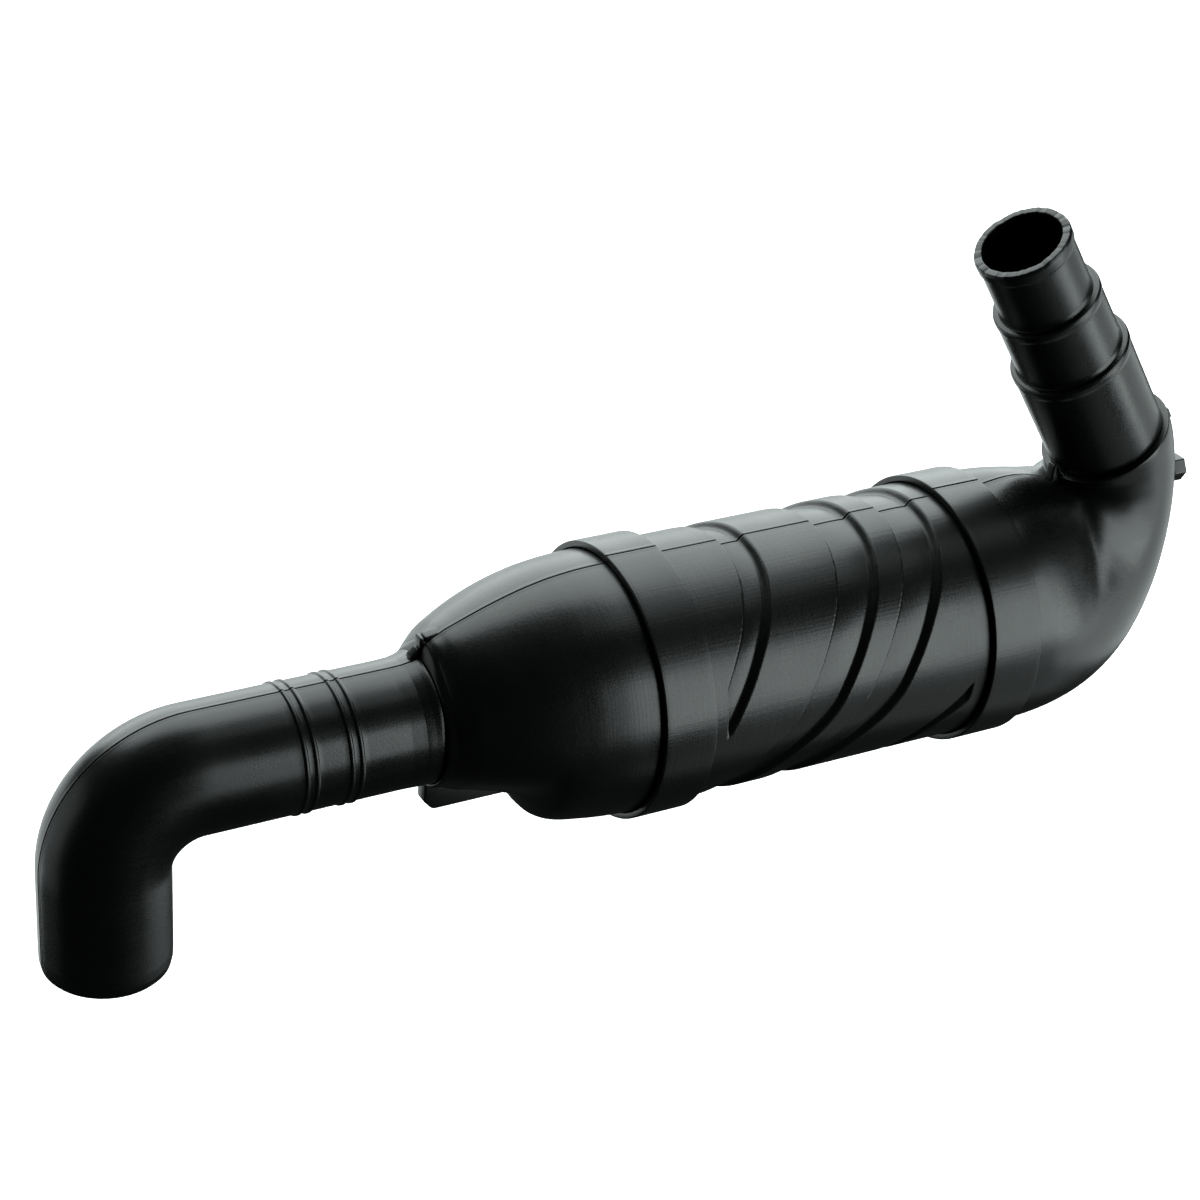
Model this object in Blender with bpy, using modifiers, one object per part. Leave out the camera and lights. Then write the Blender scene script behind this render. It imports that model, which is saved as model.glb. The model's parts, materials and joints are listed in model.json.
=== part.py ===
"""In-line chamber trap in black moulded plastic.

Frame: metres, +Z up.  The origin is the centre of the outlet pipe's open
end; +X runs from the outlet leg towards the inlet elbow.  The trap is
symmetric about the plane y = 0, which is also its mould parting plane.
All driving dimensions below are in millimetres.
"""
import math

import bmesh
import bpy
from mathutils import Matrix, Vector

# ---------------------------------------------------------------- dimensions
MM = 0.001
NAME = "chamber_trap"

# axes
CHAMBER_Z = 75.6            # chamber axis above the outlet's end face
PIPE_Z = 76.8               # outlet pipe axis above the outlet's end face
BEND_R = 34.0               # centreline radius of the outlet bend

# outlet pipe
PIPE_R = 24.9               # outside, for 50 mm waste fittings
PIPE_BORE = 21.9
BEAD_X = (71.7, 89.6)       # centres of the two bead pairs
BEAD_HALF = 2.0             # half the spacing inside one pair
BEAD_H = 0.6
NECK_X = 124.6              # rear face of the flared shoulder
FLARE_R = 26.5
SPIGOT_BORE = 19.9
SPIGOT_END = 149.6

# chamber
NOSE_X = 125.2              # front face of the nose
NECK_BORE = 25.3
WALL = 3.0
BODY_R = 52.4               # nose, barrel and elbow where they meet the rings
SOCKET_R = 49.3             # counterbores of the barrel
PLUG_R = 48.9               # spigots that enter the barrel
THROAT_R = 43.6             # bore of those spigots
BARREL_X = (214.0, 362.4)
BARREL_BORE = 46.8
GROOVE_DEPTH = 2.3
RING_R = 55.4
RING_BORE = 52.9
FRONT_RING_X = (202.3, 224.3)
REAR_RING_X = (351.8, 374.0)
BAFFLE_X = 300.0
BAFFLE_GAP = 36.0           # depth of the baffle's lower edge under the axis
FOOT_Z = 35.6               # underside of the mounting foot

# inlet elbow and stepped hose tail
SPIGOT_C = (435.6, CHAMBER_Z + 65.1)   # centre of the elbow's lip (x, z)
LEAN = math.radians(31.26)  # the tail leans back over the chamber
LIP_R = 27.2
LIP_BORE = 23.3
TAIL_L = 109.6
TAIL_BORE = 16.5
STEP_L = (49.2, 79.0)       # ends of the lower and middle hose steps
STEP_R = (24.5, 22.0, 19.3)

PLUG_AT = (467.6, CHAMBER_Z + 41.8)    # vent plug on the back of the elbow (x, z)

E = Vector((math.cos(LEAN), 0.0, math.sin(LEAN)))    # across the tail
N = Vector((-math.sin(LEAN), 0.0, math.cos(LEAN)))   # along the tail
LIP = Vector((SPIGOT_C[0], 0.0, SPIGOT_C[1]))
Y = Vector((0.0, 1.0, 0.0))

BLACK = (0.012, 0.013, 0.014, 1.0)
RUBBER = (0.02, 0.02, 0.021, 1.0)
STEEL = (0.55, 0.56, 0.57, 1.0)

# ---------------------------------------------------------------- scene
for ob in list(bpy.data.objects):
    bpy.data.objects.remove(ob, do_unlink=True)
for me in list(bpy.data.meshes):
    bpy.data.meshes.remove(me)

scene = bpy.context.scene
parts = bpy.data.collections.new(NAME)
scene.collection.children.link(parts)
cutters = bpy.data.collections.new("cutters")
scene.collection.children.link(cutters)


def material(name, color, rough, metal=0.0):
    mat = bpy.data.materials.new(name)
    mat.use_nodes = True
    bsdf = mat.node_tree.nodes["Principled BSDF"]
    bsdf.inputs["Base Color"].default_value = color
    bsdf.inputs["Roughness"].default_value = rough
    bsdf.inputs["Metallic"].default_value = metal
    mat.diffuse_color = color
    return mat


def add(name, mesh, color=BLACK, rough=0.36, metal=0.0, matrix=None, smooth=40.0):
    ob = bpy.data.objects.new(name, mesh)
    parts.objects.link(ob)
    if matrix is not None:
        ob.matrix_world = matrix
    mesh.materials.append(material(name, color, rough, metal))
    mesh.shade_smooth()
    mesh.set_sharp_from_angle(angle=math.radians(smooth))
    return ob


def cutter(name, mesh, matrix=None):
    ob = bpy.data.objects.new(name, mesh)
    cutters.objects.link(ob)
    if matrix is not None:
        ob.matrix_world = matrix
    ob.hide_render = True
    ob.display_type = 'WIRE'
    return ob


def boolean(ob, other, operation):
    mod = ob.modifiers.new(operation.lower() + "_" + other.name, 'BOOLEAN')
    mod.operation = operation
    mod.solver = 'EXACT'
    mod.object = other


def along(origin, direction):
    """Matrix that puts local Z along direction, local X in the plane y = 0."""
    z = direction.normalized()
    x = Y.cross(z).normalized()
    m = Matrix((x, Y, z)).transposed().to_4x4()
    m.translation = origin * MM
    return m


def turned(name, profile, steps, origin, direction, **look):
    """A closed profile of (radius, height) spun about local Z.

    The profile lists its outer side from the top down and then its bore
    from the bottom up.
    """
    mesh = bpy.data.meshes.new(name)
    verts = [(r * MM, 0.0, h * MM) for r, h in profile]
    n = len(verts)
    mesh.from_pydata(verts, [(i, (i + 1) % n) for i in range(n)], [])
    ob = add(name, mesh, matrix=along(origin, direction), **look)
    mod = ob.modifiers.new("spin", 'SCREW')
    mod.axis = 'Z'
    mod.angle = 2.0 * math.pi
    mod.steps = mod.render_steps = steps
    mod.use_merge_vertices = True
    mod.merge_threshold = 0.00001
    mod.use_smooth_shade = True
    return ob


def seal(name, major, minor, steps, origin, direction):
    """A rubber ring of round section, spun about its own axis."""
    section = []
    for k in range(6):
        a = math.pi / 2.0 - 2.0 * math.pi * k / 6.0
        section.append((major + minor * math.cos(a), minor * math.sin(a)))
    return turned(name, section, steps, origin, direction, color=RUBBER, rough=0.6)


def loft(rings):
    """Closed skin through rings of equal count, the last joined to the first."""
    bm = bmesh.new()
    rows = [[bm.verts.new(p * MM) for p in ring] for ring in rings]
    m = len(rows[0])
    for a, b in zip(rows, rows[1:] + rows[:1]):
        for k in range(m):
            bm.faces.new((a[k], a[(k + 1) % m], b[(k + 1) % m], b[k]))
    bm.normal_update()
    if bm.calc_volume(signed=True) < 0.0:
        bmesh.ops.reverse_faces(bm, faces=bm.faces)
    mesh = bpy.data.meshes.new("loft")
    bm.to_mesh(mesh)
    bm.free()
    return mesh


def circle(center, across, radius, count, width=None, egg=0.0):
    """Points round an oval: radius along across, width along Y.

    A positive egg narrows the end that across points to.
    """
    width = radius if width is None else width
    pts = []
    for k in range(count):
        a = 2.0 * math.pi * k / count
        pts.append(center + across * (radius * math.cos(a))
                   + Y * (width * math.sin(a) * (1.0 - egg * math.cos(a))))
    return pts


def box(name, x, y, z, bevel=0.0, segments=2, matrix=None):
    """A block between the given limits, with rounded edges."""
    bm = bmesh.new()
    bmesh.ops.create_cube(bm, size=1.0)
    for v in bm.verts:
        v.co.x = (x[0] + x[1]) / 2 + v.co.x * (x[1] - x[0])
        v.co.y = (y[0] + y[1]) / 2 + v.co.y * (y[1] - y[0])
        v.co.z = (z[0] + z[1]) / 2 + v.co.z * (z[1] - z[0])
        v.co *= MM
    if bevel:
        bmesh.ops.bevel(bm, geom=bm.edges[:], offset=bevel * MM, segments=segments,
                        profile=0.5, affect='EDGES')
    mesh = bpy.data.meshes.new(name)
    bm.to_mesh(mesh)
    bm.free()
    return mesh


def plate(name, side, y, bevel=0.0):
    """A plate with the given outline in x and z, its two rims bevelled."""
    bm = bmesh.new()
    near = [bm.verts.new(Vector((x, y[0], z)) * MM) for x, z in side]
    far = [bm.verts.new(Vector((x, y[1], z)) * MM) for x, z in side]
    bm.faces.new(near)
    bm.faces.new(list(reversed(far)))
    for i in range(len(side)):
        j = (i + 1) % len(side)
        bm.faces.new((near[j], near[i], far[i], far[j]))
    rims = [e for e in bm.edges if abs(e.verts[0].co.y - e.verts[1].co.y) < 1e-7]
    if bevel:
        bmesh.ops.bevel(bm, geom=rims, offset=bevel * MM, segments=1, profile=0.5, affect='EDGES')
    bmesh.ops.recalc_face_normals(bm, faces=bm.faces[:])
    mesh = bpy.data.meshes.new(name)
    bm.to_mesh(mesh)
    bm.free()
    return mesh


def cylinder(name, radius, lo, hi, count=24, top=None):
    bm = bmesh.new()
    bmesh.ops.create_cone(bm, cap_ends=True, segments=count, radius1=radius * MM,
                          radius2=(radius if top is None else top) * MM,
                          depth=(hi - lo) * MM)
    bmesh.ops.translate(bm, verts=bm.verts, vec=(0, 0, (hi + lo) / 2 * MM))
    mesh = bpy.data.meshes.new(name)
    bm.to_mesh(mesh)
    bm.free()
    return mesh


X = Vector((1.0, 0.0, 0.0))
Z = Vector((0.0, 0.0, 1.0))


def smooth01(t):
    t = max(0.0, min(1.0, t))
    return t * t * (3.0 - 2.0 * t)


# ---------------------------------------------------------------- outlet bend
# A swept pipe: leg, quarter bend, straight run with bead pairs, flared
# shoulder, and the spigot that enters the nose.
def pipe_station(s):
    """Centre and in-plane radial direction at distance s along the pipe."""
    leg = PIPE_Z - BEND_R
    arc = BEND_R * math.pi / 2.0
    if s <= leg:
        return Vector((0.0, 0.0, s)), Vector((-1.0, 0.0, 0.0))
    if s <= leg + arc:
        a = (s - leg) / BEND_R
        c = Vector((BEND_R - BEND_R * math.cos(a), 0.0, leg + BEND_R * math.sin(a)))
        return c, Vector((-math.cos(a), 0.0, math.sin(a)))
    return Vector((BEND_R + s - leg - arc, 0.0, PIPE_Z)), Z.copy()


LEG = PIPE_Z - BEND_R
ARC = BEND_R * math.pi / 2.0


def at_x(x):
    return LEG + ARC + x - BEND_R


PIPE_COUNT = 30
outer = [(0.0, 23.2), (1.2, 24.2), (4.0, PIPE_R)]
outer += [(LEG + ARC * k / 9.0, PIPE_R) for k in range(10)]
for cx in BEAD_X:
    for d in (-BEAD_HALF, BEAD_HALF):
        outer += [(at_x(cx + d - 0.9), PIPE_R), (at_x(cx + d), PIPE_R + BEAD_H),
                  (at_x(cx + d + 0.9), PIPE_R)]
outer += [(at_x(110.0), PIPE_R), (at_x(118.0), 25.1), (at_x(121.6), 25.7),
          (at_x(123.8), FLARE_R), (at_x(NECK_X), FLARE_R),
          (at_x(NECK_X), PIPE_R),
          (at_x(131.0), PIPE_R), (at_x(131.0), 22.2), (at_x(134.0), 22.2), (at_x(134.0), PIPE_R),
          (at_x(141.0), PIPE_R), (at_x(141.0), 22.8), (at_x(143.4), 22.8), (at_x(143.4), PIPE_R),
          (at_x(SPIGOT_END - 1.0), PIPE_R), (at_x(SPIGOT_END), 24.2)]
inner = [(at_x(SPIGOT_END), SPIGOT_BORE), (at_x(121.0), SPIGOT_BORE), (at_x(112.0), PIPE_BORE)]
inner += [(LEG + ARC * k / 9.0, PIPE_BORE) for k in range(9, -1, -1)]
inner += [(0.0, PIPE_BORE)]
rings = []
for s, r in outer + inner:
    c, d = pipe_station(s)
    ring = circle(c, d, r, PIPE_COUNT)
    if s > at_x(112.0) and r > 25.3:
        # the flare runs out underneath
        for k, v in enumerate(ring):
            low = smooth01((-(v - c).normalized().z - 0.4) / 0.4)
            ring[k] = c + (v - c) * (1.0 - low * (r - 25.3) / r)
    rings.append(ring)
outlet = add("outlet_bend", loft(rings))

seal("outlet_seal_ring", 23.7, 1.2, 30, Vector((132.5, 0, PIPE_Z)), X)


def split_ring(name, inner_r, outer_r, lo, hi, steps, origin, direction):
    """A flat snap ring with a gap at the bottom."""
    ob = turned(name, [(outer_r, hi), (outer_r, lo), (inner_r, lo), (inner_r, hi)],
                steps, origin, direction, color=STEEL, rough=0.3, metal=1.0)
    gap = box(name + "_gap", (0.0, outer_r + 3.0), (-3.0, 3.0), (lo - 2.0, hi + 2.0))
    cut = cutter(name + "_gap", gap, along(origin, direction))
    boolean(ob, cut, 'DIFFERENCE')
    return ob


split_ring("outlet_snap_ring", 23.1, 26.1, -0.9, 0.9, 30, Vector((142.2, 0, PIPE_Z)), X)

# index clip that bridges the shoulder at the top of the neck
clip = add("neck_clip", box("neck_clip", (120.4, 124.6), (-3.2, 3.2), (PIPE_Z + 25.8, PIPE_Z + 36.6),
                            bevel=0.8, segments=1))
saddle = cutter("neck_clip_saddle", cylinder("neck_clip_saddle", FLARE_R + 0.4, -12.0, 12.0, 48),
                along(Vector((121.0, 0, PIPE_Z)), X))
boolean(clip, saddle, 'DIFFERENCE')

# ---------------------------------------------------------------- nose shell
# Radii of the nose above and below, measured from the chamber axis.
NOSE_TOP = ((125.2, 28.0), (127.5, 29.4), (130.5, 32.2), (134.8, 35.7), (140.0, 38.4), (147.0, 41.7),
            (152.0, 43.8), (161.0, 46.9), (170.0, 49.2), (180.0, 51.0), (192.0, 52.1),
            (202.0, BODY_R))
NOSE_LOW = ((125.2, 26.0), (127.5, 26.2), (130.5, 26.9), (134.8, 28.6), (140.0, 29.9), (147.0, 31.8),
            (152.0, 33.3), (156.0, 34.7), (158.8, 36.0), (161.0, 37.4), (164.0, 40.8), (168.0, 46.8),
            (173.0, 49.0), (181.0, 50.4), (192.0, 51.8), (202.0, BODY_R))


def table(points, x):
    if x <= points[0][0]:
        return points[0][1]
    for (x0, r0), (x1, r1) in zip(points, points[1:]):
        if x <= x1:
            return r0 + (r1 - r0) * (x - x0) / (x1 - x0)
    return points[-1][1]


def nose_radius(x, a):
    """Outer radius at x; a is the angle from the top."""
    w = smooth01((math.cos(a) + 0.8) / 0.8)
    return w * table(NOSE_TOP, x) + (1.0 - w) * table(NOSE_LOW, x)


NOSE_COUNT = 36


def nose_ring(x, offset=0.0, radius=None, z=CHAMBER_Z):
    pts = []
    for k in range(NOSE_COUNT):
        a = 2.0 * math.pi * k / NOSE_COUNT
        r = nose_radius(x, a) - offset if radius is None else radius
        pts.append(Vector((x, r * math.sin(a), z + r * math.cos(a))))
    return pts


rings = [nose_ring(x) for x in (125.2, 127.5, 130.5, 134.8, 140.0, 147.0, 152.0, 156.0, 158.8,
                                161.0, 164.0, 168.0, 173.0, 181.0, 192.0, 202.0)]
rings += [nose_ring(x, radius=r) for x, r in (
    (212.2, BODY_R), (212.2, PLUG_R), (215.0, PLUG_R), (215.0, 45.9), (218.4, 45.9),
    (218.4, PLUG_R), (220.8, PLUG_R), (221.6, 48.2),
    (221.6, THROAT_R), (212.0, THROAT_R))]
rings += [nose_ring(x, offset=WALL) for x in (203.0, 181.0, 169.0, 162.0, 154.5)]
rings += [nose_ring(x, radius=r, z=PIPE_Z) for x, r in (
    (150.6, NECK_BORE), (143.7, NECK_BORE), (143.7, 26.5), (140.7, 26.5), (140.7, NECK_BORE),
    (125.2, NECK_BORE))]
nose = add("nose_shell", loft(rings))

# foot under the neck, in the parting plane
foot_side = [(160.0, 62.0), (160.0, FOOT_Z), (134.6, FOOT_Z), (132.0, FOOT_Z + 0.7),
             (129.9, FOOT_Z + 2.1), (128.5, FOOT_Z + 4.2), (127.9, FOOT_Z + 7.0), (127.9, 62.0)]
foot = add("mounting_foot", plate("mounting_foot", foot_side, (-3.4, 3.4), bevel=0.9))
relief = cutter("foot_relief", loft([nose_ring(x, offset=-0.35) for x in
                                     (118.0, 125.2, 127.5, 130.5, 134.8, 140.0, 147.0, 152.0, 156.0,
                                      158.8, 161.0)]
                                    + [nose_ring(161.0, radius=8.0), nose_ring(118.0, radius=8.0)]))
boolean(foot, relief, 'DIFFERENCE')

# ---------------------------------------------------------------- coupling rings
def coupling_ring(name, x0, x1, rib):
    mid = (rib[0] + rib[1]) / 2.0
    h = [x - mid for x in (x0, x1, rib[0], rib[1])]
    profile = [(RING_R - 0.7, h[1]), (RING_R, h[1] - 0.7), (RING_R, h[0] + 0.7), (RING_R - 0.7, h[0]),
               (RING_BORE, h[0]), (RING_BORE, h[2]), (50.2, h[2]), (50.2, h[3]), (RING_BORE, h[3]),
               (RING_BORE, h[1])]
    return turned(name, profile, 44, Vector((mid, 0, CHAMBER_Z)), X)


coupling_ring("front_coupling_ring", *FRONT_RING_X, (212.55, 213.65))
coupling_ring("rear_coupling_ring", *REAR_RING_X, (362.75, 363.65))
seal("front_seal_ring", 47.45, 1.2, 36, Vector((216.7, 0, CHAMBER_Z)), X)
seal("rear_seal_ring", 47.45, 1.2, 36, Vector((359.0, 0, CHAMBER_Z)), X)

# ---------------------------------------------------------------- barrel
# Four relief grooves wrap the barrel: level over the top, slanting down the
# sides towards the outlet, level again underneath.
GROOVES = ((251.3, 263.0), (293.6, 312.0), (323.9, 341.5), (377.5, 384.5))
GROOVE_LO, GROOVE_HI = 230.8, 345.4
GROOVE_SIDE = 0.9


# shift along X against the height angle, 90 at the top and -90 underneath
SLANT = ((-90.0, -67.0), (-78.0, -66.6), (-65.0, -65.2), (-52.0, -62.2), (-40.0, -57.2), (-30.0, -51.0),
         (-20.0, -43.4), (-10.0, -35.8), (0.0, -29.4), (10.0, -24.8), (20.0, -20.0), (30.0, -15.2),
         (40.0, -10.4), (48.0, -7.2), (57.0, -4.3), (66.0, -2.0), (78.0, -0.4), (90.0, 0.0))


def groove_shift(a):
    """Shift along X at angle a from the top."""
    return table(SLANT, 90.0 - abs(math.degrees(a)))


BARREL_COUNT = 52
columns = [[BARREL_X[0]] * BARREL_COUNT, [GROOVE_LO - 1.6] * BARREL_COUNT]
depths = [[0.0] * BARREL_COUNT, [0.0] * BARREL_COUNT]
for left, right in GROOVES:
    edge = [[], [], [], []]
    deep = [[], [], [], []]
    for k in range(BARREL_COUNT):
        a = 2.0 * math.pi * k / BARREL_COUNT
        if a > math.pi:
            a -= 2.0 * math.pi
        s = groove_shift(a)
        lo = max(GROOVE_LO, min(GROOVE_HI, left + s))
        hi = max(GROOVE_LO, min(GROOVE_HI, right + s))
        width = hi - lo
        side = min(GROOVE_SIDE, width * 0.3)
        d = GROOVE_DEPTH * min(1.0, width / 4.0)
        for i, (xx, dd) in enumerate(((lo, 0.0), (lo + side, d), (hi - side, d), (hi, 0.0))):
            edge[i].append(xx)
            deep[i].append(dd)
    columns += edge
    depths += deep
columns += [[GROOVE_HI + 1.6] * BARREL_COUNT, [BARREL_X[1]] * BARREL_COUNT]
depths += [[0.0] * BARREL_COUNT, [0.0] * BARREL_COUNT]
# keep neighbouring columns apart where a groove has run out
STEP = 0.12
for k in range(BARREL_COUNT):
    for j in range(1, len(columns)):
        columns[j][k] = max(columns[j][k], columns[j - 1][k] + STEP)
    for j in range(len(columns) - 2, 1, -1):
        columns[j][k] = min(columns[j][k], columns[j + 1][k] - STEP)


def barrel_ring(xs, radii):
    pts = []
    for k in range(BARREL_COUNT):
        a = 2.0 * math.pi * k / BARREL_COUNT
        pts.append(Vector((xs[k], radii[k] * math.sin(a), CHAMBER_Z + radii[k] * math.cos(a))))
    return pts


rings = [barrel_ring(c, [BODY_R - d for d in dd]) for c, dd in zip(columns, depths)]
for x, r in ((BARREL_X[1], SOCKET_R), (354.2, SOCKET_R), (354.2, 50.7), (351.4, 50.7),
             (351.4, SOCKET_R), (349.4, SOCKET_R), (349.4, BARREL_BORE), (222.0, BARREL_BORE),
             (222.0, SOCKET_R), (BARREL_X[0], SOCKET_R)):
    rings.append(barrel_ring([x] * BARREL_COUNT, [r] * BARREL_COUNT))
barrel = add("barrel", loft(rings))

# water-seal baffle: open only at the bottom, below the outlet's invert
baffle = add("dip_baffle", cylinder("dip_baffle", BARREL_BORE - 0.4, -1.5, 1.5, 44),
             matrix=along(Vector((BAFFLE_X, 0, CHAMBER_Z)), X))
notch = cutter("baffle_notch", box("baffle_notch", (BAFFLE_X - 8, BAFFLE_X + 8), (-60.0, 60.0),
                                   (CHAMBER_Z - 60.0, CHAMBER_Z - BAFFLE_GAP)))
boolean(baffle, notch, 'DIFFERENCE')
lock = turned("baffle_lock_ring", [(BARREL_BORE - 0.4, 3.6), (BARREL_BORE - 0.4, 1.9),
                                   (42.4, 1.9), (42.4, 3.6)], 40,
              Vector((BAFFLE_X, 0, CHAMBER_Z)), X)
gap = cutter("lock_ring_gap", box("lock_ring_gap", (0.0, 60.0), (-24.0, 24.0), (0.0, 6.0)),
             along(Vector((BAFFLE_X, 0, CHAMBER_Z)), X))
boolean(lock, gap, 'DIFFERENCE')

# ---------------------------------------------------------------- inlet elbow
ELBOW_X = 375.0             # where the bend leaves the cylindrical end
ELBOW_R = 52.8
HANDLE_OUT = 113.3          # reach of the outer curve along the chamber
HANDLE_IN = 26.6            # reach of the outer curve along the tail
CREASE = 0.70               # share of the bend whose inner side is the top
NARROW = -0.214             # how much narrower the middle sections are in Y
EGG = 0.141                 # how much narrower again towards their inner side
CROWN = 3.57                # rise of the top line between ring and crease
COLLAR = 1.8                # length of the lip collar

OUT0 = Vector((ELBOW_X, 0.0, CHAMBER_Z - ELBOW_R))
OUT3 = LIP - N * COLLAR + E * LIP_R
IN0 = Vector((ELBOW_X, 0.0, CHAMBER_Z + ELBOW_R))
IN3 = LIP - N * COLLAR - E * LIP_R


def elbow_section(s):
    """Inner and outer points of the section at share s of the bend."""
    p1 = OUT0 + X * HANDLE_OUT
    p2 = OUT3 - N * HANDLE_IN
    out = (OUT0 * (1 - s) ** 3 + p1 * (3 * (1 - s) ** 2 * s)
           + p2 * (3 * (1 - s) * s ** 2) + OUT3 * s ** 3)
    low = IN3 - N * 0.6 - Z * 1.05
    if s <= CREASE:
        u = s / CREASE
        ins = IN0 + (low - IN0) * u + Z * (CROWN * math.sin(math.pi * u))
    else:
        ins = low + (IN3 - low) * ((s - CREASE) / (1.0 - CREASE))
    return ins, out


ELBOW_COUNT = 36


def elbow_ring(s):
    ins, out = elbow_section(s)
    r = (out - ins).length / 2.0
    w = r * (1.0 + NARROW * math.sin(math.pi * s))
    return circle((out + ins) / 2.0, (ins - out).normalized(), r, ELBOW_COUNT, w,
                  EGG * math.sin(math.pi * s))


def bore_ring(s):
    """Section of the bend's hollow, one wall inside the outer skin."""
    ins, out = elbow_section(s)
    w = (out - ins).length / 2.0 * (1.0 + NARROW * math.sin(math.pi * s)) - WALL
    ahead = elbow_section(s + 0.01)[1] - elbow_section(max(0.0, s - 0.01))[1]
    out = out + Vector((-ahead.z, 0.0, ahead.x)).normalized() * WALL
    low = elbow_section(CREASE)[0] + Vector((3.0, 0.0, -5.5))
    top = IN0 - Z * WALL
    u = s / CREASE
    ins = top + (low - top) * u + Z * (CROWN * math.sin(math.pi * u))
    return circle((out + ins) / 2.0, (ins - out).normalized(), (out - ins).length / 2.0,
                  ELBOW_COUNT, w, EGG * math.sin(math.pi * s))


def lip_ring(l, r):
    return circle(LIP + N * l, -E, r, ELBOW_COUNT)


def end_ring(x, r):
    return circle(Vector((x, 0.0, CHAMBER_Z)), Z, r, ELBOW_COUNT)


rings = [end_ring(x, r) for x, r in (
    (350.0, 48.2), (350.7, PLUG_R), (351.7, PLUG_R), (351.7, 46.6), (353.9, 46.6), (353.9, PLUG_R),
    (357.3, PLUG_R), (357.3, 45.9), (360.7, 45.9), (360.7, PLUG_R),
    (364.0, PLUG_R), (364.0, BODY_R), (374.1, BODY_R))]
STATIONS = (0.0, 0.08, 0.16, 0.24, 0.32, 0.40, 0.48, 0.55, 0.62, 0.70, 0.78, 0.86, 0.94, 1.0)
rings += [elbow_ring(s) for s in STATIONS]
rings += [lip_ring(-0.5, LIP_R), lip_ring(0.0, LIP_R - 0.5)]
rings += [lip_ring(l, r) for l, r in ((0.0, LIP_BORE), (-8.6, LIP_BORE), (-8.6, 24.5),
                                      (-11.2, 24.5), (-11.2, LIP_BORE), (-14.2, LIP_BORE))]
rings += [bore_ring(s) for s in (0.64, 0.56, 0.48, 0.40, 0.30, 0.20, 0.10, 0.0)]
rings += [end_ring(366.0, THROAT_R), end_ring(350.0, THROAT_R)]
elbow = add("inlet_elbow", loft(rings))

# moulded lugs at the front and back of the lip, and the boss of the vent plug
lug_axis = along(LIP, N)
wedge = box("front_lug", (-36.0, -25.3), (-2.4, 2.4), (-9.0, 5.0))
for v in wedge.vertices:
    if v.co.z > 0.0 and v.co.x < -0.030:
        v.co.x = -0.0268
front_lug = cutter("front_lug", wedge, lug_axis)
rear_lug = cutter("rear_lug", box("rear_lug", (24.5, 29.6), (-2.2, 2.2), (-14.6, -9.6),
                                  bevel=0.8, segments=1), lug_axis)
boss = cutter("plug_boss", cylinder("plug_boss", 6.6, -2.6, 2.4, 24),
              along(Vector((PLUG_AT[0], 0, PLUG_AT[1])), X))
hole = cutter("plug_hole", cylinder("plug_hole", 3.7, -12.0, 8.0, 20),
              along(Vector((PLUG_AT[0], 0, PLUG_AT[1])), X))
boolean(elbow, front_lug, 'UNION')
boolean(elbow, rear_lug, 'UNION')
boolean(elbow, boss, 'UNION')
boolean(elbow, hole, 'DIFFERENCE')

split_ring("elbow_snap_ring", 46.9, 50.3, -0.8, 0.8, 36, Vector((352.8, 0, CHAMBER_Z)), X)

# ---------------------------------------------------------------- hose tail
TAIL = [(19.3, TAIL_L), (19.9, TAIL_L - 0.7), (19.9, 105.0), (STEP_R[2], 103.6),
        (19.3, 80.0), (19.8, STEP_L[1]), (21.9, STEP_L[1]), (22.3, STEP_L[1] - 0.5), (22.3, 76.4),
        (STEP_R[1], 74.8), (22.1, 50.2), (22.5, STEP_L[0]), (24.4, STEP_L[0]),
        (24.9, STEP_L[0] - 0.5), (24.9, 46.4), (STEP_R[0], 45.0),
        (24.4, 0.3), (23.0, 0.3),
        (23.0, -3.4), (20.9, -3.4), (20.9, -6.2), (23.0, -6.2),
        (23.0, -8.7), (21.2, -8.7), (21.2, -11.1), (23.0, -11.1),
        (23.0, -13.2), (22.4, -13.8),
        (19.2, -13.8), (19.2, 70.0), (TAIL_BORE, 80.0), (TAIL_BORE, TAIL_L)]
turned("hose_tail", TAIL, 34, LIP, N)
seal("tail_seal_ring", 22.0, 1.0, 28, LIP - N * 4.8, N)
split_ring("tail_snap_ring", 21.5, 24.2, -0.85, 0.85, 28, LIP - N * 9.9, N)

# ---------------------------------------------------------------- vent plug
# Hexagon-headed screw plug with a flat sealing washer.
plug_at = along(Vector((PLUG_AT[0], 0, PLUG_AT[1])), X)
plug = add("vent_plug", cylinder("vent_plug", 5.8, 4.4, 11.2, 6, top=5.8), matrix=plug_at)
bev = plug.modifiers.new("edges", 'BEVEL')
bev.width = 0.6 * MM
bev.segments = 1
bev.limit_method = 'ANGLE'
shank = cutter("plug_shank", cylinder("plug_shank", 3.3, -6.5, 5.2, 20, top=3.3), plug_at)
boolean(plug, shank, 'UNION')
turned("vent_plug_washer", [(5.9, 4.0), (5.9, 2.8), (3.7, 2.8), (3.7, 4.0)], 24,
       Vector((PLUG_AT[0], 0, PLUG_AT[1])), X, color=RUBBER, rough=0.6)
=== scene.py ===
"""Looks of the in-line chamber trap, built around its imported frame."""

import json
import math

import bmesh
import bpy
import numpy as np
from mathutils import Matrix, Vector


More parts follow.
